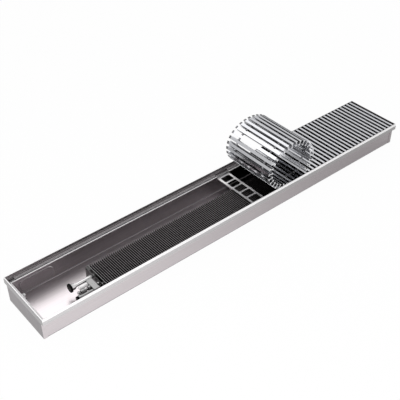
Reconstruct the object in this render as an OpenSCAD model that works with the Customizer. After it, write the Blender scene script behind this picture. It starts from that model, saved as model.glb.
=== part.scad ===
// Trench convector heater, laid in a floor channel, with its roll-up grille partly rolled back.
// The origin is the middle of the underside. X runs along the trench, Y across it, Z up.

/* [Overall] */
// Length over the frame
frame_l = 1812; // [1400:2:2400]
// Width over the frame
frame_w = 260; // [240:1:300]
// Height from the underside of the trough to the top of the frame
total_h = 104; // [96:1:130]

/* [Trough] */
// Overhang of the frame over the long walls of the trough
frame_overhang = 15; // [12:0.5:18]
// Sheet thickness of the trough and end walls
sheet_t = 1.5; // [1:0.1:2]
// Distance from the end face of the frame to the end wall
end_inset = 1.2; // [0.5:0.1:3]
// Width of the flange that carries the long frame bars
flange_w = 11; // [8:0.5:12]
// Length of the end wall's flange folded along the long wall
end_flange_l = 13; // [8:0.5:20]
// Radius of the two floor anchor holes
anchor_hole_r = 4.5; // [3:0.1:6]
// Distance of an anchor hole from the end of the frame
anchor_inset = 110; // [90:1:140]
// Distance of an anchor hole from the outer face of the front frame bar
anchor_y = 62; // [50:1:80]

/* [Pipe entry plate] */
// Length of the plate
entry_l = 136; // [100:1:150]
// Height of its lower edge over the underside of the trough
entry_z = 13; // [8:1:20]
// Distance from its upper edge to the top of the trough
entry_top = 12; // [6:1:20]
// Distance of its left end from the end of the frame
entry_x = 45; // [30:1:60]
// Radius of its corners
entry_corner_r = 18; // [8:1:19]
// Margin of the plate round the opening that it closes
entry_margin = 8; // [4:1:12]

/* [Frame] */
// Height of the frame bar
frame_h = 27; // [24:1:30]
// Thickness of the upright web
frame_web_t = 3.9; // [3:0.1:5]
// Width of the ledge leg, from the outer face
frame_leg_w = 17.7; // [15:0.1:20]
// Thickness of the ledge leg
frame_leg_t = 2.2; // [1.8:0.1:3]
// Height of the bright bevel along the top
bevel_h = 10; // [6:0.5:12]
// How far the bevel leans in
bevel_in = 1.8; // [1:0.1:2.4]
// How far each inner ridge stands off the web
ridge_out = 1; // [0.5:0.1:1.5]
// Height of the nose at the inner edge of the ledge
nose_h = 0.8; // [0.4:0.1:1.5]
// Width of the nose
nose_w = 1.6; // [1:0.1:2.5]

/* [Roll-up grille] */
// Distance from bar to bar
bar_pitch = 22; // [20:0.5:26]
// Height of a bar
bar_h = 20; // [16:0.5:20]
// Width of a bar's top flange
bar_top_w = 9.5; // [8:0.5:11]
// Width of a bar's foot flange
bar_foot_w = 12; // [10:0.5:13]
// Thickness of a bar's web
bar_web_t = 3; // [2:0.1:4]
// Thickness of a bar's flanges at their tips
bar_flange_t = 1.8; // [1.4:0.1:2.4]
// Thickness that a flange gains towards the web
bar_flange_swell = 1; // [0.5:0.1:1.6]
// Number of bars in the roll
roll_bars = 26; // [20:1:26]
// Mean angle between neighbouring bars in the roll
roll_step = 12.5; // [11.5:0.1:13]
// Share of that angle by which the roll bends less at its top and foot, and more at its sides
roll_sag_share = 0.3; // [0:0.01:0.3]
// Distance from the left end of the frame to the last flat bar
roll_start = 1152; // [1000:1:1200]
// Gap from a bar's end to the frame
bar_end_gap = 0.8; // [0.5:0.1:1.5]
// Distance between the two rows of links
link_span = 160; // [120:1:180]
// Radius of the link springs
spring_r = 3; // [2:0.1:3.5]
// Outer radius of the spacers
spacer_r = 4.5; // [4:0.1:5]
// Distance from a half spacer's end to the hinge line in the roll
link_gap = 0.5; // [0.4:0.05:0.8]
// Width of the damping strip
strip_w = 9; // [7:0.5:10]

/* [Crossbar] */
// Distance from the left end of the frame to the crossbar's middle
crossbar_x = 994; // [700:1:1000]
// Width of the crossbar
crossbar_w = 64; // [56:1:70]
// Depth of its plate below the top of the ledge
crossbar_drop = 4; // [2.5:0.5:5]
// Number of windows
crossbar_windows = 5; // [3:1:5]
// Width of the windows
window_w = 46; // [36:1:48]
// Width of the webs between the windows
window_web = 7; // [4:0.5:12]
// Distance from the crossbar's end to its first window, less half a web
window_end = 9.2; // [6:0.2:14]
// Radius of the window corners
window_corner_r = 6; // [3:0.5:9]

/* [Heat exchanger] */
// Distance from the left end of the frame to the first plate
core_x = 274; // [270:1:300]
// Distance from the last plate to the right end of the frame
core_right = 170; // [150:1:220]
// Distance from fin to fin
fin_pitch = 8.4; // [8:0.2:14]
// Thickness of a fin
fin_t = 0.5; // [0.4:0.05:0.8]
// Width of the fold along a fin's top
fin_fold = 1.8; // [1.2:0.1:3]
// Width of the fin block across the trench
fin_w = 124; // [120:1:130]
// Height of the fin block's underside
fin_z = 20; // [16:1:24]
// Distance from the fins' tops to the top of the trough
fin_top = 7; // [5:0.5:12]
// Distance from the outer face of the front frame bar to the fin block
fin_y = 30; // [26:1:32]
// Thickness of the end plates
end_plate_t = 1.2; // [1:0.1:2]
// Outer radius of the tubes
tube_r = 7.5; // [6:0.1:8]
// Wall of the tubes
tube_wall = 0.8; // [0.6:0.1:1.2]
// Wall of the fin collars round the tubes
collar_t = 0.7; // [0.5:0.1:1]
// Distance between the tubes
tube_span = 56; // [52:1:60]
// Clearance between a tube and what it passes through
tube_clearance = 0.3; // [0.1:0.05:0.4]

/* [Connections] */
// Distance from the left end of the frame to the return tube's end
return_x = 186; // [180:1:196]
// Width across the flats of the union nut
nut_flats = 22; // [21:1:25]
// Length of the union nut
nut_l = 16; // [14:1:20]
// Radius of the large cap
cap_r = 17; // [14:0.5:19]
// Thickness of the large cap's disc
cap_t = 8; // [5:0.5:10]
// Length of the valve body along the trench
valve_l = 22; // [18:0.5:26]
// Height of the valve body
valve_h = 24; // [20:1:28]
// Radius of the valve insert
insert_r = 7.5; // [6:0.5:9]
// Length of the valve insert
insert_l = 34; // [30:1:42]
// Travel of the valve pin
pin_travel = 2.5; // [1.5:0.1:3]
// Radius of the regulating ring
ring_r = 10.5; // [9.5:0.5:11]
// Width of the regulating ring
ring_l = 20; // [14:1:22]
// Number of ribs on the regulating ring
ring_ribs = 20; // [16:1:28]
// Radius of the small cap
plug_r = 10; // [9:0.5:11]

/* [Levelling] */
// Radius of a levelling screw's shank
screw_r = 3.9; // [3:0.1:5]
// Length of a levelling screw's shank
screw_l = 26; // [20:1:32]
// Radius of its head
screw_head_r = 6; // [5.5:0.5:8]
// Distance of a levelling screw from the end of the frame
level_x = 41; // [36:1:60]
// Distance of a levelling screw from the long side of the frame
level_y = 48; // [40:1:52]

/* [Hidden] */
$fn = 48;
overrun = 1;
seat_gap = 0.3;
slide_gap = 0.2;

half_l = frame_l / 2;
half_w = frame_w / 2;
wall_out = half_w - frame_overhang;
wall_in = wall_out - sheet_t;
body_h = total_h - frame_h;
ledge_z = body_h + frame_leg_t;
fin_h = body_h - fin_top - fin_z;
body_x = half_l - end_inset;
trough_x = body_x - sheet_t;

// Turns a profile drawn in Y and Z into a bar along X, centred on the origin
module along_x(length) rotate([90, 0, 90]) translate([0, 0, -length / 2]) linear_extrude(length) children();

// Turns a profile drawn in X and Z into a bar along Y, centred on the origin
module along_y(length) rotate([90, 0, 0]) translate([0, 0, -length / 2]) linear_extrude(length) children();

// A round rod along X, from x0 to x1
module rod_x(x0, x1, r) translate([x0, 0, 0]) rotate([0, 90, 0]) cylinder(h = x1 - x0, r = r);

// A round rod along Z, from z0 to z1
module rod_z(z0, z1, r) translate([0, 0, z0]) cylinder(h = z1 - z0, r = r);

// A rectangle with round corners
module round_rect(l, w, r) {
    union() {
        square([l - 2 * r, w], center = true);
        square([l, w - 2 * r], center = true);
        for (sx = [-1, 1]) for (sy = [-1, 1]) translate([sx * (l / 2 - r), sy * (w / 2 - r)]) circle(r);
    }
}

// Copies what follows to the four corners of a rectangle
module at_corners(x, y) for (sx = [-1, 1]) for (sy = [-1, 1]) translate([sx * x, sy * y, 0]) children();

// Trough: one folded sheet with its two flanges, the anchor holes and the pipe entry opening
entry_h = body_h - entry_top - entry_z;
entry_mid = [-half_l + entry_x + entry_l / 2, entry_z + entry_h / 2];
nut_spigot_wall = 2.4;
nut_hole_r = screw_r + nut_spigot_wall;
module trough_profile() {
    polygon([
        [-wall_out - flange_w, body_h - sheet_t], [-wall_out, body_h - sheet_t], [-wall_out, 0],
        [wall_out, 0], [wall_out, body_h - sheet_t], [wall_out + flange_w, body_h - sheet_t],
        [wall_out + flange_w, body_h], [wall_in, body_h], [wall_in, sheet_t], [-wall_in, sheet_t],
        [-wall_in, body_h], [-wall_out - flange_w, body_h],
    ]);
}
frame_screw_r = 1.6;
frame_screw_bite = 1.6;
frame_screw_count = 7;
frame_screw_pitch = (frame_l - 2 * anchor_inset) / (frame_screw_count - 1);
frame_screw_y = wall_out + flange_w / 2;
module at_frame_screws() {
    for (side = [-1, 1]) for (k = [0:frame_screw_count - 1])
        translate([(k - (frame_screw_count - 1) / 2) * frame_screw_pitch, side * frame_screw_y, 0]) children();
}
module trough() {
    color("#b9b6b5") difference() {
        along_x(2 * trough_x) trough_profile();
        for (side = [-1, 1]) translate([side * (half_l - anchor_inset), anchor_y - half_w, 0])
            rod_z(-overrun, sheet_t + overrun, anchor_hole_r);
        at_corners(half_l - level_x, half_w - level_y) rod_z(-overrun, sheet_t + overrun, nut_hole_r);
        translate([entry_mid[0], wall_in - overrun, entry_mid[1]]) rotate([-90, 0, 0])
            linear_extrude(sheet_t + 2 * overrun)
            round_rect(entry_l - 2 * entry_margin, entry_h - 2 * entry_margin, entry_corner_r - entry_margin);
        at_frame_screws() rod_z(body_h - sheet_t - overrun, body_h + overrun, frame_screw_r + slide_gap);
    }
}

// End walls: a sheet across each end, flanged over the long walls outside and along the floor inside
module end_wall() {
    cap_w = 2 * (wall_out + sheet_t + slide_gap);
    union() {
        translate([trough_x, -cap_w / 2, 0]) cube([sheet_t, cap_w, body_h]);
        for (side = [-1, 1]) translate([trough_x - end_flange_l, side * (cap_w - sheet_t) / 2 - sheet_t / 2, 0])
            cube([end_flange_l, sheet_t, body_h - sheet_t - slide_gap]);
        translate([trough_x - end_flange_l, -wall_in + seat_gap, sheet_t])
            cube([end_flange_l, 2 * (wall_in - seat_gap), sheet_t]);
    }
}
module end_wall_right() color("#a9a8a8") end_wall();
module end_wall_left() color("#a9a8a8") mirror([1, 0, 0]) end_wall();

// Pipe entry plate: closes the opening in the back wall from inside
module pipe_entry_plate() {
    color("#8b8586") translate([entry_mid[0], wall_in, entry_mid[1]]) rotate([90, 0, 0])
        linear_extrude(sheet_t) round_rect(entry_l, entry_h, entry_corner_r);
}

// Frame: one extrusion on each side, mitred at the corners, with a bevel outside and two ridges inside
ridge_h = 2.4;
ridge_step = ridge_out;
ridge_top_shares = [0.43, 0.67];
ridge_tops = [for (share = ridge_top_shares) total_h - share * frame_h];
module frame_profile() {
    polygon(concat(
        [[0, body_h], [0, total_h - bevel_h], [bevel_in, total_h], [frame_web_t, total_h]],
        [for (z = ridge_tops) each [
            [frame_web_t, z], [frame_web_t + ridge_out, z - ridge_step],
            [frame_web_t + ridge_out, z - ridge_h], [frame_web_t, z - ridge_h - ridge_step],
        ]],
        [[frame_web_t, ledge_z], [frame_leg_w - nose_w, ledge_z], [frame_leg_w - nose_w, ledge_z + nose_h],
         [frame_leg_w, ledge_z + nose_h], [frame_leg_w, body_h]]));
}
module frame_bar(length) {
    depth = frame_leg_w;
    intersection() {
        along_x(length) frame_profile();
        linear_extrude(total_h + overrun)
            polygon([[-length / 2, 0], [length / 2, 0], [length / 2 - depth, depth], [-length / 2 + depth, depth]]);
    }
}
module long_frame_bar() {
    difference() {
        translate([0, -half_w, 0]) frame_bar(frame_l);
        at_frame_screws() rod_z(body_h - overrun, body_h + frame_screw_bite + slide_gap, frame_screw_r + slide_gap);
    }
}
module frame_front() color("#cfced0") long_frame_bar();
module frame_back() color("#cfced0") rotate([0, 0, 180]) long_frame_bar();
module frame_left() color("#cfced0") rotate([0, 0, -90]) translate([0, -half_l, 0]) frame_bar(frame_w);
module frame_right() color("#cfced0") rotate([0, 0, 90]) translate([0, -half_l, 0]) frame_bar(frame_w);

// Corner brackets: small angles on the ledge that hold the mitres together
bracket_leg = 30;
bracket_arm = 8;
bracket_t = 1.5;
bracket_pin_r = 1.8;
bracket_pin_h = 0.8;
module corner_brackets() {
    near = frame_web_t + ridge_out + seat_gap;
    color("#9a9a9c") for (sx = [0, 1]) for (sy = [0, 1])
        mirror([sx, 0, 0]) mirror([0, sy, 0]) translate([-half_l + near, -half_w + near, ledge_z]) union() {
            cube([bracket_leg, bracket_arm, bracket_t]);
            cube([bracket_arm, bracket_leg, bracket_t]);
            for (p = [[bracket_leg - bracket_arm / 2, bracket_arm / 2], [bracket_arm / 2, bracket_leg - bracket_arm / 2]])
                translate([p[0], p[1], 0]) rod_z(bracket_t, bracket_t + bracket_pin_h, bracket_pin_r);
        }
}

// Frame screws: driven up through the trough's flange, with their heads out of sight below it
frame_screw_head_r = 3;
frame_screw_head_h = 1.8;
module frame_screws() {
    color("#8f8f90") at_frame_screws() union() {
        rod_z(body_h - sheet_t - frame_screw_head_h, body_h - sheet_t, frame_screw_head_r);
        rod_z(body_h - sheet_t, body_h + frame_screw_bite, frame_screw_r);
    }
}

// Damping strips: ribbed rubber on both ledges, notched where the crossbar hooks in
bar_z = total_h - bar_h;
strip_h = bar_z - seat_gap - ledge_z;
strip_y = half_w - frame_web_t - ridge_out - seat_gap - strip_w;
strip_rib_h = 0.8;
notch_gap = 1;
module strip_profile() {
    w = strip_w;
    t = strip_h;
    s = strip_rib_h;
    polygon([[0, 0], [w, 0], [w, t], [w - s * 2, t], [w - s * 3, t - s], [w / 2 + s * 2, t - s], [w / 2 + s, t],
             [w / 2 - s, t], [w / 2 - s * 2, t - s], [s * 3, t - s], [s * 2, t], [0, t]]);
}
module damping_strips() {
    reach = frame_web_t + ridge_out + 2 * seat_gap + bracket_leg;
    left = crossbar_x - crossbar_w / 2 - notch_gap;
    right = crossbar_x + crossbar_w / 2 + notch_gap;
    color("#c9c7c8") for (side = [0, 1]) mirror([0, side, 0])
        for (run = [[reach, left], [right, frame_l - reach]])
            translate([-half_l + (run[0] + run[1]) / 2, strip_y, ledge_z]) along_x(run[1] - run[0]) strip_profile();
}

// Grille bar: an I section with swelling flanges, drawn round the middle of its height
half_bar = bar_h / 2;
module bar_profile() {
    web = bar_web_t / 2;
    top = bar_top_w / 2;
    foot = bar_foot_w / 2;
    tip = half_bar - bar_flange_t;
    root = tip - bar_flange_swell;
    polygon([
        [-top, half_bar], [-top, tip], [-web, root], [-web, -root], [-foot, -tip], [-foot, -half_bar],
        [foot, -half_bar], [foot, -tip], [web, -root], [web, root], [top, tip], [top, half_bar],
    ]);
}
bar_l = frame_w - 2 * (frame_web_t + ridge_out + bar_end_gap);
bar_mid_z = bar_z + half_bar;
roll_x = -half_l + roll_start;
flat_bars = floor((half_l - frame_web_t - ridge_out - bar_top_w - roll_x) / bar_pitch) + 1;
web_half = bar_web_t / 2;
module at_links() for (side = [-1, 1]) translate([0, side * link_span / 2, 0]) children();

// A half spacer that runs from a bar's web towards the hinge line on its right, and thins at its end
module half_spacer() {
    shank = bar_pitch / 2 - link_gap;
    nose = spacer_r - spring_r;
    rotate([0, 90, 0]) union() {
        translate([0, 0, web_half]) cylinder(h = shank - nose - web_half, r = spacer_r);
        translate([0, 0, shank - nose]) cylinder(h = nose, r1 = spacer_r, r2 = spring_r);
    }
}

// Flat grille bars, bored for the link springs
module grille_flat_bars() {
    color("#e8e8ea") for (k = [0:flat_bars - 1]) translate([roll_x + k * bar_pitch, 0, bar_mid_z]) difference() {
        along_y(bar_l) bar_profile();
        at_links() rod_x(-bar_pitch / 2, bar_pitch / 2, spring_r + slide_gap);
    }
}

// Link springs: the closed coils that string the flat bars together, drawn as their outer form
module grille_link_springs() {
    color("#77777a") translate([roll_x, 0, bar_mid_z]) at_links()
        rod_x(-web_half, (flat_bars - 1) * bar_pitch + web_half, spring_r);
}

// Spacers on the springs between the flat bars, and the first half spacer of the roll
module grille_spacers() {
    color("#55555a") translate([roll_x, 0, bar_mid_z]) at_links() {
        for (k = [0:flat_bars - 2]) translate([k * bar_pitch, 0, 0]) difference() {
            rod_x(web_half + slide_gap, bar_pitch - web_half - slide_gap, spacer_r);
            rod_x(0, bar_pitch, spring_r + slide_gap);
        }
        mirror([1, 0, 0]) translate([slide_gap, 0, 0]) half_spacer();
    }
}

// Roll: each bar turns on a hinge line, half a pitch from it, that it shares with the bar before it
roll_names = [for (k = [1:roll_bars]) str("roll_bar_", k < 10 ? "0" : "", k)];
function roll_angle(k) = k == 0 ? 0 : let (before = roll_angle(k - 1))
    before + roll_step * (1 - roll_sag_share * cos(2 * before));
function roll_hinge(k) = k == 1 ? [roll_x - bar_pitch / 2, bar_mid_z] : let (angle = roll_angle(k - 1))
    roll_hinge(k - 1) + bar_pitch * [-cos(angle), sin(angle)];
module roll_bar(k) {
    hinge = roll_hinge(k);
    color("#e8e8ea") translate([hinge[0], 0, hinge[1]]) rotate([0, roll_angle(k), 0])
        translate([-bar_pitch / 2, 0, 0]) union() {
            along_y(bar_l) bar_profile();
            at_links() {
                half_spacer();
                if (k < roll_bars) mirror([1, 0, 0]) half_spacer();
            }
        }
}

// Crossbar: a pressed plate with windows, folded edges and hooks that rest on the noses of the ledges
crossbar_z = ledge_z - crossbar_drop;
crossbar_gap = 0.6;
module crossbar() {
    inner = half_w - frame_leg_w - crossbar_gap;
    edge_z = fin_z + fin_h + crossbar_gap;
    t = sheet_t;
    hook_z = ledge_z + nose_h + seat_gap;
    hook_out = strip_y + strip_w / 2;
    window_pitch = 2 * (inner - window_end) / crossbar_windows;
    color("#bdbdbf") translate([-half_l + crossbar_x, 0, 0]) union() {
        translate([0, 0, crossbar_z - t]) linear_extrude(t) difference() {
            square([crossbar_w, 2 * inner], center = true);
            for (k = [0:crossbar_windows - 1])
                translate([0, (k - (crossbar_windows - 1) / 2) * window_pitch])
                    round_rect(window_w, window_pitch - window_web, window_corner_r);
        }
        for (side = [-1, 1]) translate([side * (crossbar_w - t) / 2 - t / 2, -inner, edge_z])
            cube([t, 2 * inner, crossbar_z - t - edge_z]);
        for (side = [0, 1]) mirror([0, side, 0]) {
            translate([-crossbar_w / 2, inner - t, crossbar_z - t]) cube([crossbar_w, t, hook_z + 2 * t - crossbar_z]);
            translate([-crossbar_w / 2, inner - t, hook_z]) cube([crossbar_w, hook_out - inner + t, t]);
        }
    }
}

// Fin block: folded fins on continuous collars, bored for the two tubes
core_left = -half_l + core_x;
core_room = frame_l - core_x - core_right;
fin_count = floor(core_room / fin_pitch) - 1;
fin_run = fin_count * fin_pitch;
core_end = core_left + fin_run + fin_pitch;
fin_mid_y = -half_w + fin_y + fin_w / 2;
fin_mid_z = fin_z + fin_h / 2;
collar_r = tube_r + tube_clearance + collar_t;
bore_r = tube_r + tube_clearance;
module at_tubes() for (side = [-1, 1]) translate([0, fin_mid_y + side * tube_span / 2, fin_mid_z]) children();
module fin_block() {
    color("#c4c6c9") difference() {
        union() {
            for (k = [1:fin_count]) translate([core_left + k * fin_pitch, fin_mid_y, fin_z]) along_y(fin_w)
                polygon([[0, 0], [fin_t, 0], [fin_t, fin_h - fin_t], [fin_fold, fin_h - fin_t],
                         [fin_fold, fin_h], [0, fin_h]]);
            at_tubes() rod_x(core_left + end_plate_t + seat_gap, core_end - seat_gap, collar_r);
        }
        at_tubes() rod_x(core_left - overrun, core_end + overrun, bore_r);
    }
}

// End plates of the exchanger, a little larger than the fins
end_plate_margin = 1;
module exchanger_end_plates() {
    color("#d5d5d6") for (x = [core_left, core_end]) difference() {
        translate([x, fin_mid_y - fin_w / 2 - end_plate_margin, fin_z - end_plate_margin])
            cube([end_plate_t, fin_w + 2 * end_plate_margin, fin_h + 2 * end_plate_margin]);
        at_tubes() rod_x(x - overrun, x + end_plate_t + overrun, bore_r);
    }
}

// Brackets: a bored upright at each end and a saddle under the middle
upright_gap = 11;
upright_left = core_left - upright_gap;
upright_right = core_end + end_plate_t + upright_gap - sheet_t;
upright_drop = 2;
upright_top = fin_z + fin_h - upright_drop;
tab_w = 22;
module bracket_upright() {
    difference() {
        translate([0, fin_mid_y - fin_w / 2, 0]) union() {
            translate([0, 0, sheet_t]) cube([sheet_t, fin_w, upright_top - sheet_t]);
            translate([0, 0, sheet_t]) cube([upright_gap, fin_w, sheet_t]);
            translate([0, fin_w - tab_w, upright_top - sheet_t]) cube([upright_gap - seat_gap, tab_w, sheet_t]);
        }
        at_tubes() rod_x(-overrun, sheet_t + overrun, bore_r);
    }
}
saddle_w = 24;
module bracket_saddle() {
    mid = (core_left + core_end) / 2;
    translate([mid, fin_mid_y, 0]) along_y(fin_w) polygon([
        [-saddle_w, sheet_t], [-saddle_w / 2 + sheet_t, sheet_t], [-saddle_w / 2 + sheet_t, fin_z - seat_gap - sheet_t],
        [saddle_w / 2 - sheet_t, fin_z - seat_gap - sheet_t], [saddle_w / 2 - sheet_t, sheet_t], [saddle_w, sheet_t],
        [saddle_w, 2 * sheet_t], [saddle_w / 2, 2 * sheet_t], [saddle_w / 2, fin_z - seat_gap],
        [-saddle_w / 2, fin_z - seat_gap], [-saddle_w / 2, 2 * sheet_t], [-saddle_w, 2 * sheet_t],
    ]);
}
module exchanger_brackets() {
    color("#7c7b7d") {
        translate([upright_left, 0, 0]) bracket_upright();
        translate([upright_right + sheet_t, 0, 0]) mirror([1, 0, 0]) bracket_upright();
        bracket_saddle();
    }
}

// Bracket screws: pan heads on the feet of the brackets
bracket_screw_head_r = 3.6;
bracket_screw_head_h = 2;
module bracket_screws() {
    feet = [upright_left + upright_gap / 2 + sheet_t / 2, (core_left + core_end) / 2 - saddle_w * 3 / 4,
            (core_left + core_end) / 2 + saddle_w * 3 / 4, upright_right - upright_gap / 2 + sheet_t / 2];
    color("#9c9c9e") for (x = feet) for (side = [-1, 1])
        translate([x, fin_mid_y + side * fin_w / 3, 2 * sheet_t]) rod_z(0, bracket_screw_head_h, bracket_screw_head_r);
}

// Plated tubes, with a ferrule on the return tube where its union nut bears
tube_y = fin_mid_y + tube_span / 2;
ferrule_r = 9.4;
ferrule_l = 3;
tube_stub = 9;
socket_gap = 1.5;
valve_socket_l = 6;
tube_end_x = -half_l + return_x;
bend_x = upright_right + sheet_t + tube_stub;
valve_right = upright_left - socket_gap;
module return_tube() {
    color("#d2d3d5") translate([0, tube_y, fin_mid_z]) difference() {
        union() {
            rod_x(tube_end_x, bend_x, tube_r);
            rod_x(tube_end_x, tube_end_x + ferrule_l, ferrule_r);
        }
        rod_x(tube_end_x - overrun, bend_x + overrun, tube_r - tube_wall);
    }
}
module supply_tube() {
    start = valve_right - valve_socket_l;
    color("#d2d3d5") translate([0, tube_y - tube_span, fin_mid_z]) difference() {
        rod_x(start, bend_x, tube_r);
        rod_x(start - overrun, bend_x + overrun, tube_r - tube_wall);
    }
}

// Return bend: joins the two tubes at the far end, with a socket over each
socket_t = 1;
bend_r = tube_span / 2;
module half_ring(r) rotate([0, 0, -90]) rotate_extrude(angle = 180) translate([bend_r, 0]) circle(r);
module return_bend() {
    socket_l = tube_stub - seat_gap;
    color("#d2d3d5") translate([bend_x, fin_mid_y, fin_mid_z]) difference() {
        union() {
            half_ring(tube_r);
            for (side = [-1, 1]) translate([0, side * bend_r, 0]) rod_x(-socket_l, tube_wall, bore_r + socket_t);
        }
        half_ring(tube_r - tube_wall);
        for (side = [-1, 1]) translate([0, side * bend_r, 0]) rod_x(-socket_l - overrun, 0, bore_r);
    }
}

// Union nut on the return tube: a chamfered hexagon with a collar, bored for the tube behind its seat
nut_left_l = 6;
nut_left = tube_end_x - nut_left_l;
nut_chamfer = 2.4;
nut_collar_l = 4;
nut_collar_step = 1;
module return_nut() {
    flat_r = nut_flats / 2;
    color("#d8dadc") translate([nut_left, tube_y, fin_mid_z]) difference() {
        union() {
            intersection() {
                rotate([0, 90, 0]) cylinder(h = nut_l - nut_collar_l, r = flat_r / cos(30), $fn = 6);
                union() {
                    rotate([0, 90, 0]) cylinder(h = nut_chamfer, r1 = flat_r, r2 = flat_r + nut_chamfer);
                    rod_x(nut_chamfer, nut_l, flat_r + nut_chamfer);
                }
            }
            rod_x(nut_l - nut_collar_l, nut_l, flat_r - nut_collar_step);
        }
        rod_x(-overrun, nut_left_l + ferrule_l + seat_gap, ferrule_r + slide_gap);
        rod_x(-overrun, nut_l + overrun, tube_r + slide_gap);
    }
}

// Large cap: a black disc with rounded edges and a hollow spigot pushed into the union nut
cap_bevel = 1.4;
spigot_wall = 1.5;
module return_cap() {
    spigot_l = nut_left_l - seat_gap;
    color("#141414") translate([nut_left, tube_y, fin_mid_z]) difference() {
        union() {
            translate([-seat_gap, 0, 0]) rotate([0, -90, 0]) rotate_extrude() polygon([
                [0, 0], [cap_r - cap_bevel, 0], [cap_r, cap_bevel], [cap_r, cap_t - cap_bevel],
                [cap_r - cap_bevel, cap_t], [0, cap_t]]);
            rod_x(-overrun, spigot_l, ferrule_r);
        }
        rod_x(0, spigot_l + overrun, ferrule_r - spigot_wall);
    }
}

// Valve body: the forging that joins the supply tube to the valve insert and the supply connection
boss_wall = 3;
boss_l = 7;
valve_margin = 2.5;
valve_corner_r = 5;
valve_floor = 4;
insert_offset = 35;
spindle_offset = 14;
port_offset = -6;
neck_r = 8;
neck_wall = 2;
port_l = 60;
port_flange_l = 9;
port_flange_r = 11;
supply_y = tube_y - tube_span;
valve_left = valve_right - boss_l - valve_l;
insert_y = supply_y + insert_offset;
spindle_y = supply_y + spindle_offset;
port_y = supply_y + port_offset;
port_left = valve_left - port_l;
collar_r_step = 0.5;
spindle_collar_l = 9;
spindle_r = 5;
ring_offset = 18.5;
button_gap = 4;
button_l = 8;
button_r = 8;
ring_left = valve_left - ring_offset - ring_l;
boss_r = tube_r + boss_wall;
insert_spigot_step = 1.2;
insert_spigot_l = 4.5;
module valve_body() {
    corner = valve_corner_r;
    color("#9d9fa3") translate([0, 0, fin_mid_z]) difference() {
        union() {
            translate([valve_left, 0, 0]) rotate([90, 0, 90]) linear_extrude(valve_l) hull() {
                for (y = [port_y - neck_r - valve_margin + corner, insert_y + insert_r + valve_margin - corner])
                    for (side = [-1, 1]) translate([y, side * (valve_h / 2 - corner)]) circle(corner, $fn = 32);
            }
            translate([0, supply_y, 0]) rod_x(valve_left + valve_l, valve_right, boss_r);
            translate([0, port_y, 0]) rod_x(port_left, valve_left, neck_r);
            translate([0, port_y, 0]) rod_x(port_left, port_left + port_flange_l, port_flange_r);
            translate([0, spindle_y, 0]) {
                rod_x(valve_left - spindle_collar_l, valve_left, ring_r - collar_r_step);
                rod_x(ring_left - button_gap, valve_left, spindle_r);
                rod_x(ring_left - button_gap - button_l, ring_left - button_gap, button_r);
            }
        }
        translate([0, supply_y, 0]) {
            rod_x(valve_right - valve_socket_l - slide_gap, valve_right + overrun, bore_r);
            rod_x(valve_left + valve_floor, valve_right, tube_r - tube_wall);
        }
        translate([0, port_y, 0]) rod_x(port_left - overrun, valve_left + 2 * valve_floor, neck_r - neck_wall);
        translate([0, insert_y, 0])
            rod_x(valve_left - overrun, valve_left + insert_spigot_l + seat_gap, insert_r - insert_spigot_step + slide_gap);
        translate([bleed_x, supply_y, 0]) rod_z(boss_r - bleed_stem_l - seat_gap, boss_r + overrun, bleed_stem_r + slide_gap);
    }
}

// Valve insert: the chromed barrel beside the connection, bored for its pin
pin_r = 1.5;
pin_bore_l = 14;
pin_reach = 1;
insert_nose_l = 5;
insert_nose_step = 1.6;
insert_left = valve_left - insert_l;
module valve_insert() {
    color("#e3e4e6") translate([0, insert_y, fin_mid_z]) difference() {
        union() {
            rod_x(insert_left, insert_left + insert_nose_l, insert_r - insert_nose_step);
            rod_x(insert_left + insert_nose_l, valve_left, insert_r);
            rod_x(valve_left, valve_left + insert_spigot_l, insert_r - insert_spigot_step);
        }
        rod_x(insert_left - overrun, insert_left + pin_bore_l, pin_r + slide_gap);
    }
}
module valve_pin() {
    color("#cfd0d2") translate([insert_left - pin_travel, insert_y, fin_mid_z])
        rod_x(-pin_reach, pin_bore_l - seat_gap, pin_r);
}

// Regulating ring: a ribbed hand ring that turns on its spindle, between a collar and an end button
ring_shoulder_l = 3;
ring_shoulder_step = 1.5;
ring_groove = 0.9;
rib_turn_shares = [0.05, 0.45, 0.55, 0.95];
rib_depth_shares = [0, 0, 1, 1];
module regulating_ring() {
    points = [for (k = [0:ring_ribs - 1]) for (i = [0:len(rib_turn_shares) - 1])
        let (a = (k + rib_turn_shares[i]) * 360 / ring_ribs, r = ring_r - rib_depth_shares[i] * ring_groove)
            [r * cos(a), r * sin(a)]];
    color("#8d8f92") translate([ring_left, spindle_y, fin_mid_z]) difference() {
        union() {
            rotate([0, 90, 0]) translate([0, 0, ring_shoulder_l]) linear_extrude(ring_l - 2 * ring_shoulder_l)
                polygon(points);
            rod_x(0, ring_l, ring_r - ring_shoulder_step);
        }
        rod_x(-overrun, ring_l + overrun, spindle_r + slide_gap);
    }
}

// Small cap: a black plug in the supply connection
plug_l = 7;
plug_t = 8;
module supply_cap() {
    bore = neck_r - neck_wall - slide_gap;
    color("#141414") translate([port_left, port_y, fin_mid_z]) difference() {
        union() {
            translate([-seat_gap, 0, 0]) rotate([0, -90, 0]) rotate_extrude() polygon([
                [0, 0], [plug_r - cap_bevel, 0], [plug_r, cap_bevel], [plug_r, plug_t - cap_bevel],
                [plug_r - cap_bevel, plug_t], [0, plug_t]]);
            rod_x(-overrun, plug_l, bore);
        }
        rod_x(0, plug_l + overrun, bore - spigot_wall);
    }
}

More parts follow.
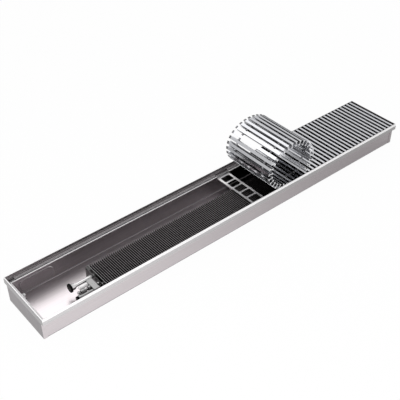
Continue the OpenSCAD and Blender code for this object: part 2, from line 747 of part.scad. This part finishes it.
// Bleed screw: a slotted head on a short stem, on top of the valve's boss
bleed_stem_l = 2;
bleed_stem_r = 1.4;
bleed_neck_h = 4;
bleed_neck_r = 2.2;
bleed_head_h = 4;
bleed_head_r = 2.9;
bleed_slot_w = 0.8;
bleed_slot_h = 1.2;
bleed_x = valve_right - boss_l / 2;
module bleed_screw() {
    top = bleed_neck_h + bleed_head_h;
    color("#dfe0e2") translate([bleed_x, supply_y, fin_mid_z + boss_r]) difference() {
        union() {
            rod_z(-bleed_stem_l, seat_gap, bleed_stem_r);
            rod_z(seat_gap, bleed_neck_h, bleed_neck_r);
            rod_z(bleed_neck_h, top, bleed_head_r);
        }
        translate([-bleed_head_r - overrun, -bleed_slot_w / 2, top - bleed_slot_h])
            cube([2 * (bleed_head_r + overrun), bleed_slot_w, bleed_slot_h + overrun]);
    }
}

// Levelling nuts pressed into the floor, and the screws that stand in them on the ground below
level_nut_t = 5;
level_nut_step = 1.2;
thread_gap = 0.15;
screw_tip = 0.3;
screw_head_h = 4;
socket_key_r = 2.6;
socket_key_h = 2.5;
module levelling_nuts() {
    color("#a5a6a8") at_corners(half_l - level_x, half_w - level_y) difference() {
        union() {
            rod_z(seat_gap, sheet_t, nut_hole_r - slide_gap);
            rod_z(sheet_t, sheet_t + level_nut_t, nut_hole_r + level_nut_step);
        }
        rod_z(-overrun, sheet_t + level_nut_t + overrun, screw_r + thread_gap);
    }
}
level_names = ["levelling_screw_fl", "levelling_screw_fr", "levelling_screw_bl", "levelling_screw_br"];
level_sides = [[-1, -1], [1, -1], [-1, 1], [1, 1]];
module levelling_screw(side) {
    top = screw_tip + screw_l + screw_head_h;
    color("#e6e6e8") translate([side[0] * (half_l - level_x), side[1] * (half_w - level_y), 0]) difference() {
        union() {
            rod_z(screw_tip, top - screw_head_h, screw_r);
            rod_z(top - screw_head_h, top, screw_head_r);
        }
        translate([0, 0, top - socket_key_h]) cylinder(h = socket_key_h + overrun, r = socket_key_r, $fn = 6);
    }
}

trough();
end_wall_left();
end_wall_right();
pipe_entry_plate();
frame_front();
frame_back();
frame_left();
frame_right();
corner_brackets();
frame_screws();
damping_strips();
crossbar();
fin_block();
exchanger_end_plates();
exchanger_brackets();
bracket_screws();
return_tube();
supply_tube();
return_bend();
return_nut();
return_cap();
valve_body();
valve_insert();
valve_pin();
regulating_ring();
supply_cap();
bleed_screw();
levelling_nuts();
for (k = [0:len(level_names) - 1]) levelling_screw(level_sides[k]);
grille_flat_bars();
grille_link_springs();
grille_spacers();
for (k = [1:roll_bars]) roll_bar(k);
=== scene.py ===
import math

import bpy
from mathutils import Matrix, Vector


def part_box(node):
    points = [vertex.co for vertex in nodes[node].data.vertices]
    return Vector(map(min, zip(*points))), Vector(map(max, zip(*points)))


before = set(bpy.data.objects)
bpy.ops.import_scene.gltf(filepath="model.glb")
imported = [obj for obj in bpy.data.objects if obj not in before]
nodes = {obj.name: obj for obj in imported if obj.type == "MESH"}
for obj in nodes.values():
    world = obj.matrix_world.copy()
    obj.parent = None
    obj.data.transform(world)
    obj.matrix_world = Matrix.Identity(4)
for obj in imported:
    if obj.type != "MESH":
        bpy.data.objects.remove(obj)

# Camera: it stands off the heater's connection end, above the long side without pipes, and looks down
# along the trench, as the photographer did.
camera_place = (-1.5608, -1.7128, 1.9338)
camera_turn = 0.697
camera_dip = 0.681
focal_pixels = 745.2
photo_pixels = 400
sensor_width = 36.0
sight_limit = 50

scene = bpy.context.scene
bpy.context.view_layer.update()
scene.view_settings.view_transform = "Standard"
lens = bpy.data.cameras.new("camera")
lens.sensor_width = sensor_width
lens.lens = sensor_width * focal_pixels / photo_pixels
lens.clip_end = sight_limit
camera = bpy.data.objects.new("camera", lens)
camera.location = camera_place
camera.rotation_euler = (math.pi / 2 - camera_dip, 0, -camera_turn)
scene.collection.objects.link(camera)
scene.camera = camera

# Studio: the heater stands on white paper, with a broad lamp beside the camera and a weak one at the back.
# Its metal mirrors a room instead of the lamps: bright behind, partly lit on the left and low down, and
# dim elsewhere, with more light overhead and one soft bright patch.
sky_light = 0.9
room_light = 0.05
left_share = 0.5
low_share = 0.7
overhead_gain = 0.85
far_left_loss = 0.35
patch_gain = 0.5
patch_way = (-0.605, 0.53, 0.593)
paper_size = 14.0
glow_shown = 0.96
glow_mirrored = 0.8
mirror_loss = 0.3
mirror_loss_right = 0.45


def lamp(name, place, target, size, power):
    light = bpy.data.lights.new(name, "AREA")
    light.shape = "RECTANGLE"
    light.size, light.size_y = size
    light.energy = power
    holder = bpy.data.objects.new(name, light)
    holder.location = place
    holder.rotation_euler = (Vector(target) - Vector(place)).to_track_quat("-Z", "Y").to_euler()
    holder.visible_glossy = False
    scene.collection.objects.link(holder)


def grey(value):
    return (value, value, value, 1)


class Socket:
    """A node's output and its tree. Values meet in Math nodes, and vectors in Vector Math nodes."""

    def __init__(self, home, plug):
        self.home = home
        self.plug = plug

    def join(self, operation, first, second):
        kinds = [item.plug.type for item in (first, second) if isinstance(item, Socket)]
        kind = "ShaderNodeVectorMath" if "VECTOR" in kinds else "ShaderNodeMath"
        return self.home.add(kind, {"operation": operation}, {0: first, 1: second})

    def __add__(self, other):
        return self.join("ADD", self, other)

    def __radd__(self, other):
        return self.join("ADD", other, self)

    def __sub__(self, other):
        return self.join("SUBTRACT", self, other)

    def __rsub__(self, other):
        return self.join("SUBTRACT", other, self)

    def __mul__(self, other):
        return self.join("MULTIPLY", self, other)

    def __rmul__(self, other):
        return self.join("MULTIPLY", other, self)

    def part(self, axis):
        """One coordinate of a vector, by its place."""
        return self.home.add("ShaderNodeSeparateXYZ", {}, {0: self}, axis)

    def between(self, low, high):
        """Runs from 0 where the value is low to 1 where it is high."""
        values = {"Value": self, "From Min": low, "From Max": high}
        return self.home.add("ShaderNodeMapRange", {"interpolation_type": "SMOOTHSTEP"}, values)

    def reaches(self, face):
        """1 on a piece's outer face, which stands at this value, and 0 just under it."""
        return self.between(face - 0.0004, face - 0.0001)

    def blend(self, first, second):
        """The first colour where the value is 0 and the second where it is 1."""
        return self.home.add("ShaderNodeMix", {"data_type": "RGBA"}, {0: self, 6: first, 7: second}, 2)

    def size(self):
        """A value or vector with every part made positive."""
        kind = "ShaderNodeVectorMath" if self.plug.type == "VECTOR" else "ShaderNodeMath"
        return self.home.add(kind, {"operation": "ABSOLUTE"}, {0: self})

    def at_least(self, floor):
        """A vector with every part raised to the floor."""
        values = {0: self, 1: (floor, floor, floor)}
        return self.home.add("ShaderNodeVectorMath", {"operation": "MAXIMUM"}, values)

    def along(self, way):
        """How far a vector runs along a way."""
        return self.home.add("ShaderNodeVectorMath", {"operation": "DOT_PRODUCT"}, {0: self, 1: way}, 1)

    def length(self):
        """How long a vector is."""
        return self.home.add("ShaderNodeVectorMath", {"operation": "LENGTH"}, {0: self}, 1)

    def wave(self, pitch):
        """A ripple between -1 and 1 that repeats every pitch."""
        return self.home.add("ShaderNodeMath", {"operation": "SINE"}, {0: self * (2 * math.pi / pitch)})


class Nodes:
    """A node tree of a material or the world."""

    def __init__(self, owner):
        self.owner = owner
        owner.use_nodes = True
        self.tree = owner.node_tree

    def add(self, kind, settings, values, output=0):
        """Any node: its type, its settings, and the values or links of its inputs."""
        made = self.tree.nodes.new(kind)
        for key, value in settings.items():
            setattr(made, key, value)
        self.feed(made, values)
        return Socket(self, made.outputs[output])

    def feed(self, node, values):
        """A node's inputs by value or by link."""
        for key, value in values.items():
            if isinstance(value, Socket):
                self.tree.links.new(value.plug, node.inputs[key])
            else:
                node.inputs[key].default_value = value

    def ray(self, answer):
        """1 for rays of one kind, such as those that the camera sees or that metal mirrors."""
        return self.add("ShaderNodeLightPath", {}, {}, answer)

    def mixed(self, share, first, second):
        """Two shaders, the second by its share."""
        return self.add("ShaderNodeMixShader", {}, {0: share, 1: first, 2: second})


class Finish(Nodes):
    """A material with one Principled shader, whose own coordinates stay with the piece."""

    def __init__(self, name, **constants):
        super().__init__(bpy.data.materials.new(name))
        self.shader = self.tree.nodes["Principled BSDF"]
        self.wear(**constants)
        self.place = self.add("ShaderNodeTexCoord", {}, {}, "Object")

    def wear(self, **inputs):
        """Feeds the shader's inputs, in whose names _ stands for a space."""
        self.feed(self.shader, {key.replace("_", " "): value for key, value in inputs.items()})
        return self

    def cover(self, mask, color):
        """Lays a colour over the present one, where the mask is 1."""
        present = self.shader.inputs["Base Color"].links[0].from_socket
        return self.wear(Base_Color=mask.blend(Socket(self, present), color))

    def noise(self, grain, detail=3.0):
        """Noise whose grains are so many to the metre along each axis."""
        values = {"Vector": self.place * grain, "Scale": 1.0, "Detail": detail}
        return self.add("ShaderNodeTexNoise", {}, values)

    def openness(self, reach):
        """From 0 deep between other faces to 1 in the open, as far as the reach."""
        return self.add("ShaderNodeAmbientOcclusion", {"samples": 24}, {"Distance": reach}, 1)

    def bump(self, height, depth, strength=1.0):
        """Relief too fine for the mesh, so many metres deep."""
        values = {"Height": height, "Distance": depth, "Strength": strength}
        return self.wear(Normal=self.add("ShaderNodeBump", {}, values))

    def put_on(self, *names):
        """Gives pieces this finish alone."""
        for name in names:
            materials = nodes[name].data.materials
            materials.clear()
            materials.append(self.owner)


lamp("broad_lamp", place=(-2.1, -1.9, 2.0), target=(-0.3, 0, 0), size=(1.6, 1.6), power=48)
lamp("weak_lamp", place=(2.0, 1.2, 2.2), target=(0.5, 0, 0), size=(1.2, 1.2), power=5)

sky = Nodes(bpy.data.worlds.new("sky"))
scene.world = sky.owner
sky.tree.nodes.clear()
direction = sky.add("ShaderNodeTexCoord", {}, {}, "Generated")
behind = direction.part(1).between(-0.45, 0.35)
left = direction.part(0).between(-0.1, -0.45) * left_share
low_down = direction.part(2).between(0.45, 0.25) * low_share
lit_part = 1 - (1 - behind) * (1 - left) * (1 - low_down)
overhead = direction.part(2).between(0.58, 0.68)
far_left = direction.part(0).between(-0.5, -0.75)
patch = direction.along(patch_way).between(0.86, 0.96)
room_strength = lit_part * (1 - room_light) + room_light
room_strength = room_strength * (1 + overhead * overhead_gain) * (1 - far_left * far_left_loss)
room_strength = room_strength * (1 + patch * patch_gain)
plain = sky.add("ShaderNodeBackground", {}, {"Strength": sky_light})
room = sky.add("ShaderNodeBackground", {}, {"Strength": room_strength})
white = sky.add("ShaderNodeBackground", {}, {"Color": grey(1), "Strength": 1.0})
sky_look = sky.mixed(sky.ray("Is Camera Ray"), sky.mixed(sky.ray("Is Glossy Ray"), plain, room), white)
sky.feed(sky.tree.nodes.new("ShaderNodeOutputWorld"), {0: sky_look})

half = paper_size / 2
corners = [(-half, -half, 0), (half, -half, 0), (half, half, 0), (-half, half, 0)]
paper_mesh = bpy.data.meshes.new("paper")
paper_mesh.from_pydata(corners, [], [(0, 1, 2, 3)])
paper_floor = bpy.data.objects.new("paper", paper_mesh)
scene.collection.objects.link(paper_floor)
paper = Finish("paper", Base_Color=grey(0.9), Roughness=0.9, Specular_IOR_Level=0.1)
# As the metal mirrors it, the paper is painted darker towards the right, as shade.
mirrored = paper.ray("Is Glossy Ray")
glowing = paper.ray("Is Camera Ray") * glow_shown + mirrored * glow_mirrored
dimmed = mirrored * (paper.place.part(0).between(-0.9, 0.8) * mirror_loss_right + mirror_loss)
glow = paper.add("ShaderNodeEmission", {}, {"Color": grey(1), "Strength": 1.0})
unlit = paper.add("ShaderNodeEmission", {}, {"Color": grey(0), "Strength": 0.0})
lit = Socket(paper, paper.shader.outputs[0])
paper_look = paper.mixed(glowing, lit, paper.mixed(dimmed, glow, unlit))
paper.feed(paper.tree.nodes["Material Output"], {0: paper_look})
paper_mesh.materials.append(paper.owner)

# Trough: one zinc-coated steel sheet, folded to a U with a flange along each side. It was rolled along the
# trench, so its grain runs lengthwise. Its folds carry a painted highlight, its walls inside are painted
# darker as shade, and the stretch under the crossbar and the grille is painted dark as shade.
sheet_t = 0.0015
flange = 0.011
fold_w = 0.0018
fold_h = 0.0022
band_fade = 0.0008
stretch_shade_from, stretch_shade_to = 0.09, 0.14
trench_grain = (5, 400, 400)
blotch_grain = (45, 45, 45)
handling_grain = (5, 9, 9)
streak_gloss = 0.03
handling_gloss = 0.06
streak_depth = 0.000004
sheet_roughness = 0.33
zinc_dark = (0.87, 0.81, 0.83, 1)
zinc_light = (0.93, 0.865, 0.885, 1)
wall_shade_dark = (0.70, 0.64, 0.67, 1)
wall_shade_light = (0.76, 0.695, 0.725, 1)
fold_highlight_color = (0.34, 0.32, 0.33, 1)
stretch_shade_dark = (0.10, 0.095, 0.097, 1)
stretch_shade_light = (0.14, 0.133, 0.136, 1)


def sheet_metal(name, dark, light, grain, roughness, spangle=0.0):
    """Rolled steel sheet, streaked along its grain. Spangle is the share of the zinc's blotches in it."""
    finish = Finish(name, Metallic=1.0)
    streaks = finish.noise(grain, 4.0)
    blotches = finish.noise(blotch_grain, 1.0)
    handling = finish.noise(handling_grain)
    pattern = streaks * (1 - spangle) + blotches * spangle
    least = roughness - (streak_gloss + handling_gloss) / 2
    finish.wear(Base_Color=pattern.between(0.3, 0.7).blend(dark, light))
    finish.wear(Roughness=streaks * streak_gloss + handling * handling_gloss + least)
    return finish.bump(streaks, streak_depth, 0.3)


trough = sheet_metal("zinc_sheet", zinc_dark, zinc_light, trench_grain, sheet_roughness)
inner_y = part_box("trough")[1][1] - flange - sheet_t
off_middle = trough.place.part(1).size()
near_wall = off_middle.between(inner_y - fold_w, inner_y - fold_w + band_fade)
near_floor = trough.place.part(2).between(sheet_t + fold_h, sheet_t + fold_h - band_fade)
inside = 1 - off_middle.reaches(inner_y + sheet_t)
# Painted shade: the sheet under the crossbar and the grille is painted dark.
shaded_stretch = trough.place.part(0).between(stretch_shade_from, stretch_shade_to) * inside
fold = near_wall * near_floor
streaks = trough.noise(trench_grain).between(0.3, 0.7)
# Painted shade: the walls are darker inside.
trough.cover(near_wall * inside * (1 - near_floor), streaks.blend(wall_shade_dark, wall_shade_light))
trough.cover(shaded_stretch, streaks.blend(stretch_shade_dark, stretch_shade_light))
# Painted highlight: the fold between wall and floor is a lighter matt line.
trough.cover(fold, fold_highlight_color).wear(Metallic=1 - fold)
trough.put_on("trough")

# Pipe entry plate: a cover of the same sheet, cut with round corners and fixed inside the back wall over
# the opening for the pipes. Its front has the inner walls' painted shade, and its back the bright zinc.
# Its cut edge is dark, and bare at the upper corner towards the exchanger.
entry_corner_r = 0.018
rim_w = 0.0018
bare_l = 0.018
bare_h = 0.014
bare_fade = 0.008
rim_dark = (0.3, 0.28, 0.29, 1)
rim_bare = (0.9, 0.86, 0.87, 1)

entry = sheet_metal("entry_plate", wall_shade_dark, wall_shade_light, trench_grain, sheet_roughness)
entry_low, entry_high = (Vector(corner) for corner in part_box("pipe_entry_plate"))
entry_middle = tuple((entry_low + entry_high) / 2)
straight = tuple(side - entry_corner_r for side in (entry_high - entry_low) / 2)
past_straight = ((entry.place - entry_middle).size() - (straight[0], 1.0, straight[2])).at_least(0)
rim = past_straight.length().between(entry_corner_r - rim_w, entry_corner_r - rim_w + band_fade)
near_end = entry.place.part(0).between(entry_high[0] - bare_l, entry_high[0] - bare_l + bare_fade)
near_top = entry.place.part(2).between(entry_high[2] - bare_h, entry_high[2] - bare_h + bare_fade)
back_side = entry.place.part(1).reaches(entry_high[1])
entry.cover(rim, (near_end * near_top).blend(rim_dark, rim_bare))
entry.cover(back_side, entry.noise(trench_grain).between(0.3, 0.7).blend(zinc_dark, zinc_light))
entry.wear(Metallic=1 - rim * (1 - back_side))
entry.put_on("pipe_entry_plate")

# End walls: the same sheet set across each end of the trough, with its grain upright. Their faces are
# painted darker than the long walls, as shade. Their flanges lie outside on the long walls, and show the
# bright zinc that those walls have.
end_grain = (400, 500, 8)
end_shade_dark = (0.36, 0.34, 0.35, 1)
end_shade_light = (0.43, 0.41, 0.42, 1)

end_wall = sheet_metal("end_sheet", end_shade_dark, end_shade_light, end_grain, 0.34)
side_flange = end_wall.place.part(1).size().reaches(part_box("end_wall_left")[1][1] - sheet_t)
end_wall.cover(side_flange, end_wall.noise(end_grain, 4.0).between(0.3, 0.7).blend(zinc_dark, zinc_light))
end_wall.put_on("end_wall_left", "end_wall_right")

# Frame: four anodised aluminium extrusions, mitred and held at the corners by pressed brackets. The die
# leaves faint lines along each bar. The bevel on top and the lip along the ledge's edge carry a painted
# highlight in matt white, the inner faces and the ledge between them are painted grey as shade, and the
# short sides are painted darker than the long ones as shade.
frame_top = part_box("frame_back")[1][2]
frame_x, frame_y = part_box("frame_right")[1][0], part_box("frame_back")[1][1]
frame_wall = 0.0030
ridge_in = 0.0042
ridge_h = 0.0838
ledge_w = 0.0139
long_bevel = 0.010
short_bevel = 0.004
wall_fade = 0.0007
edge_fade = 0.0004
bevel_fade = 0.0006
ledge_matt = 0.05
ridge_matt = 0.35
long_grain = (4, 700, 700)
short_grain = (700, 4, 700)
haze_grain = (30, 30, 30)
line_gloss = 0.06
haze_gloss = 0.05
line_depth = 0.000002
frame_roughness = 0.26
long_face = (0.92, 0.90, 0.905, 1)
short_face_shaded = (0.52, 0.51, 0.515, 1)
face_contrast = 0.93
ledge_shade_dark = (0.46, 0.43, 0.44, 1)
ledge_shade_light = (0.52, 0.49, 0.50, 1)
edge_highlight_dark = (0.88, 0.87, 0.875, 1)
edge_highlight_light = (0.94, 0.93, 0.935, 1)


def anodised(name, dark, light, grain, roughness):
    """Extruded aluminium: the die's faint lines in its colour, gloss and surface, under a thin haze."""
    finish = Finish(name, Metallic=1.0)
    lines = finish.noise(grain)
    haze = finish.noise(haze_grain, 2.0)
    least = roughness - (line_gloss + haze_gloss) / 2
    finish.wear(Base_Color=lines.between(0.35, 0.65).blend(dark, light))
    finish.wear(Roughness=lines * line_gloss + haze * haze_gloss + least)
    return finish.bump(lines, line_depth, 0.2)


def frame_bar(name, face, grain, axis, outer, bevel_h):
    """A side of the frame, whose outer face stands so far from the middle, along the axis."""
    bar = anodised(name, tuple(face_contrast * value for value in face), face, grain, frame_roughness)
    across = bar.place.part(axis).size()
    height = bar.place.part(2)
    inward = across.between(outer - frame_wall, outer - frame_wall - wall_fade)
    lip = across.between(outer - ledge_w, outer - ledge_w - edge_fade)
    past_ridge = across.between(outer - ridge_in, outer - ridge_in - edge_fade)
    ridge = past_ridge * height.between(ridge_h, ridge_h + edge_fade)
    bevel = height.between(frame_top - bevel_h, frame_top - bevel_h + bevel_fade) * (1 - inward)
    lines = bar.noise(grain).between(0.35, 0.65)
    # Painted shade on the inner faces and the ledge.
    bar.cover(inward * (1 - lip), lines.blend(ledge_shade_dark, ledge_shade_light))
    # Painted highlight on the lip and the bevel.
    bar.cover(lip + bevel, lines.blend(edge_highlight_dark, edge_highlight_light))
    return bar.wear(Metallic=1 - inward * ledge_matt - lip * (1 - ledge_matt) - bevel - ridge * ridge_matt)


long_side = frame_bar("frame_long", long_face, long_grain, 1, frame_y, long_bevel)
long_side.put_on("frame_front", "frame_back")
# Painted shade: the short sides are a darker copy of the long sides.
short_side = frame_bar("frame_short", short_face_shaded, short_grain, 0, frame_x, short_bevel)
short_side.put_on("frame_left", "frame_right")

# Corner brackets, screws and levelling nuts: small steel pieces, pressed or turned, then zinc plated in
# a barrel, so their finish is a little mottled.
mottled_dark = (0.5, 0.5, 0.51, 1)
mottled_light = (0.62, 0.62, 0.62, 1)
mottle_grain = (90, 90, 90)

small_steel = sheet_metal("zinc_plating", mottled_dark, mottled_light, mottle_grain, 0.32, spangle=0.5)
small_steel.put_on("corner_brackets", "frame_screws", "bracket_screws", "levelling_nuts")

# Damping strips: pale rubber, extruded with ribs along the top, so that the grille neither rattles nor
# scratches. They lie on the frame's ledges, and the grooves between the ribs are painted dark as shade.
rib_h = 0.0006
rib_fade = 0.0004
rib_dark = (0.36, 0.34, 0.35, 1)
rib_light = (0.44, 0.42, 0.43, 1)
groove_shade_color = (0.05, 0.048, 0.05, 1)
dust_grain = (60, 260, 260)

rubber = Finish("rubber", Specular_IOR_Level=0.3)
dust = rubber.noise(dust_grain, 4.0)
strip_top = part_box("damping_strips")[1][2]
groove_shade = rubber.place.part(2).between(strip_top - rib_h + rib_fade, strip_top - rib_h)
rubber.wear(Base_Color=dust.between(0.35, 0.75).blend(rib_dark, rib_light))
rubber.cover(groove_shade, groove_shade_color)
rubber.wear(Roughness=dust * 0.2 + 0.55)
rubber.bump(dust, 0.00004, 0.5).put_on("damping_strips")

# Crossbar: a zinc-coated steel sheet, pressed with five windows and folded edges to stiffen the frame.
# Its hooks rest on the ledges, and it lifts straight out.
crossbar_dark = (0.78, 0.77, 0.775, 1)
crossbar_light = (0.86, 0.85, 0.855, 1)
crossbar_grain = (400, 8, 400)

pressed = sheet_metal("crossbar_steel", crossbar_dark, crossbar_light, crossbar_grain, 0.3, spangle=0.5)
pressed.put_on("crossbar")

# Heat exchanger: thin aluminium fins, coated dark and pressed on two tubes between two end plates, which
# stand on dark steel brackets. The fins' folded upper edges and the sheets' cut edges carry a painted
# highlight, and the fins' highlight fades under the grille as painted shade.
fin_dark = (0.002, 0.0018, 0.0018, 1)
fin_fold_highlight = (0.19, 0.178, 0.182, 1)
fold_depth = 0.0017
fold_fade = 0.0005
crest_depth = 0.0006
crest_fade = 0.0004
cut_depth = 0.0014
cut_fade = 0.0006
foil_grain = (400, 30, 400)
cut_grain = (400, 20, 400)
shaded_share = 0.9
shaded_from, shaded_to = 0.02, 0.14
sheet_contrast = 1.4

fin_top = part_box("fin_block")[1][2]
foil = Finish("fin_foil", Specular_IOR_Level=0.08)
rolling = foil.noise(foil_grain)
fin_edge = foil.place.part(2).between(fin_top - fold_depth, fin_top - fold_depth + fold_fade)
fin_crest = foil.place.part(2).between(fin_top - crest_depth, fin_top - crest_depth + crest_fade)
under_grille = foil.place.part(0).between(shaded_from, shaded_to)
foil.wear(Base_Color=(fin_edge * (1 - under_grille * shaded_share)).blend(fin_dark, fin_fold_highlight))
foil.wear(Metallic=fin_crest, Roughness=rolling * 0.15 + 0.4)
foil.bump(rolling, 0.00002, 0.4).put_on("fin_block")

dark_sheets = (
    ("end_plate_foil", "exchanger_end_plates", 0.10, 0.36),
    ("bracket_steel", "exchanger_brackets", 0.04, 0.0576),
)
for name, cad_name, dark, cut_edge_highlight in dark_sheets:
    sheet = sheet_metal(name, grey(dark), grey(dark * sheet_contrast), cut_grain, 0.4)
    sheet_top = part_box(cad_name)[1][2]
    cut_edge = sheet.place.part(2).between(sheet_top - cut_depth, sheet_top - cut_depth + cut_fade)
    # Painted highlight along the top cut edge.
    sheet.cover(cut_edge, grey(cut_edge_highlight)).wear(Metallic=1 - cut_edge)
    sheet.put_on(cad_name)

# Tubes, union nut and valve insert: copper and brass, nickel plated in a bath. The plating is bright and
# a little smeared. On the tubes and the union nut, the side below the middle is painted dark as shade.
tube_z = 0.045
unshaded_above, shade_below = 0.0040, 0.0010
plating_dark = (0.90, 0.89, 0.89, 1)
plating_light = (0.96, 0.95, 0.95, 1)
underside_shade_dark = (0.03, 0.03, 0.03, 1)
underside_shade_light = (0.05, 0.05, 0.05, 1)
smear_grain = (60, 60, 60)


def plated(name, metallic):
    finish = Finish(name, Metallic=metallic)
    smear = finish.noise(smear_grain)
    finish.wear(Base_Color=smear.between(0.3, 0.8).blend(plating_dark, plating_light))
    finish.wear(Roughness=smear * 0.1 + 0.1)
    return finish.bump(smear, 0.00002, 0.3)


nickel = plated("tube_nickel", 0.4)
underside_shade = nickel.place.part(2).between(tube_z + unshaded_above, tube_z + shade_below)
nickel.cover(underside_shade, nickel.noise(smear_grain).between(0.3, 0.8).blend(underside_shade_dark, underside_shade_light))
nickel.put_on("return_tube", "supply_tube", "return_bend", "return_nut")
plated("fitting_nickel", 0.25).put_on("valve_insert", "valve_pin")

# Levelling screws: turned steel, zinc plated pale. Each is driven down through a nut in the trough's
# floor, until the trough stands level.
turned_grain = (200, 200, 200)

pale_zinc = sheet_metal("pale_zinc", grey(0.90), grey(0.97), turned_grain, 0.25, spangle=0.5)
pale_zinc.wear(Metallic=0.0)
pale_zinc.put_on("levelling_screw_fl", "levelling_screw_fr", "levelling_screw_bl", "levelling_screw_br")

# Valve body, regulating ring and bleed screw: brass, forged or turned, then blasted and plated dull.
# Their corners are painted dark as shade.
corner_shade = (0.06, 0.058, 0.058, 1)
corner_reach = 0.03
blast_grain = (420, 420, 420)
brass_pieces = (
    ("forging", 0.32, 0.40, ("valve_body",)),
    ("turned_brass", 0.50, 0.62, ("regulating_ring", "bleed_screw")),
)
for name, dark, light, cad_names in brass_pieces:
    brass = Finish(name, Metallic=0.9)
    blasted = brass.noise(blast_grain, 4.0)
    brass.wear(Base_Color=blasted.between(0.3, 0.7).blend(grey(dark), grey(light)))
    brass.cover(brass.openness(corner_reach).between(0.8, 0.35), corner_shade)
    brass.wear(Roughness=blasted * 0.2 + 0.2)
    brass.bump(blasted, 0.00005, 0.5).put_on(*cad_names)

# Caps: black plastic, moulded with a satin surface. They are pushed in by hand, and keep dirt out until
# the pipes are joined.
moulded_grain = (500, 500, 500)

plastic = Finish("black_plastic", Specular_IOR_Level=0.05)
moulding = plastic.noise(moulded_grain)
plastic.wear(Base_Color=moulding.between(0.3, 0.8).blend(grey(0.002), grey(0.005)))
plastic.wear(Roughness=moulding * 0.15 + 0.4)
plastic.bump(moulding, 0.00003, 0.4).put_on("return_cap", "supply_cap")

# Grille: anodised aluminium bars of I section, sawn to length and strung on two link springs with plastic
# spacers between them. The gaps between its bars, and its inside where it is rolled back, are painted dark
# as shade, and the rolled bars are darker at their far ends.
bar_grain = (500, 5, 500)
bar_dark = (0.61, 0.615, 0.64, 1)
bar_light = (0.69, 0.695, 0.72, 1)
bar_side_shade = (0.34, 0.34, 0.355, 1)
roll_inside_shade = (0.05, 0.05, 0.053, 1)
far_end_color = (0.16, 0.16, 0.165, 1)
sawn_color = (0.8, 0.8, 0.81, 1)
gap_shade_color = (0.015, 0.015, 0.016, 1)
gap_reach = 0.016
roll_reach = 0.2
far_end_y = 0.1145
far_end_fade = 0.0010
coil_pitch = 0.0014
coil_depth = 0.0003
spacer_grain = (300, 300, 300)
wire_grain = (900, 90, 90)

rolled = anodised("rolled_bar", bar_dark, bar_light, bar_grain, 0.2)
roll_names = [name for name in nodes if name.startswith("roll_bar")]
roll_low = [min(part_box(name)[0][axis] for name in roll_names) for axis in range(3)]
roll_high = [max(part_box(name)[1][axis] for name in roll_names) for axis in range(3)]
roll_middle = tuple((roll_low[axis] + roll_high[axis]) / 2 for axis in range(3))
to_circle = (2 / (roll_high[0] - roll_low[0]), 0.0, 2 / (roll_high[2] - roll_low[2]))
outer_side = ((rolled.place - roll_middle) * to_circle).length().between(0.93, 0.96)
far_end = rolled.place.part(1).between(far_end_y, far_end_y + far_end_fade) * outer_side
shut_in_shade = rolled.openness(roll_reach).between(0.35, 0.15) * (1 - outer_side)
shade_between_bars = rolled.openness(gap_reach).between(0.85, 0.5)
sawn_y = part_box("grille_flat_bars")[1][1]
sawn = rolled.place.part(1).size().between(sawn_y - 0.0003, sawn_y - 0.0001)
# Painted shade between the bars and inside the roll.
rolled.cover(shade_between_bars, bar_side_shade)
rolled.cover(shut_in_shade, roll_inside_shade)
rolled.cover(far_end, far_end_color)
rolled.cover(sawn, sawn_color)
rolled.wear(Metallic=(1 - shade_between_bars * 0.6) * (1 - sawn))
rolled.put_on(*roll_names)

flat = anodised("grille_bar", bar_dark, bar_light, bar_grain, 0.22)
# Painted shade in the gaps between the flat bars.
flat.cover(flat.openness(gap_reach).between(0.9, 0.6), gap_shade_color)
flat.put_on("grille_flat_bars")

spacer = Finish("spacer_plastic", Roughness=0.5)
spacer.wear(Base_Color=spacer.noise(spacer_grain, 2.0).blend(grey(0.10), grey(0.17)))
spacer.put_on("grille_spacers")

wire = Finish("spring_wire", Metallic=1.0)
drawn = wire.noise(wire_grain)
wire.wear(Base_Color=drawn.blend(grey(0.3), grey(0.4)), Roughness=drawn * 0.1 + 0.3)
wire.bump(wire.place.part(0).wave(coil_pitch), coil_depth).put_on("grille_link_springs")
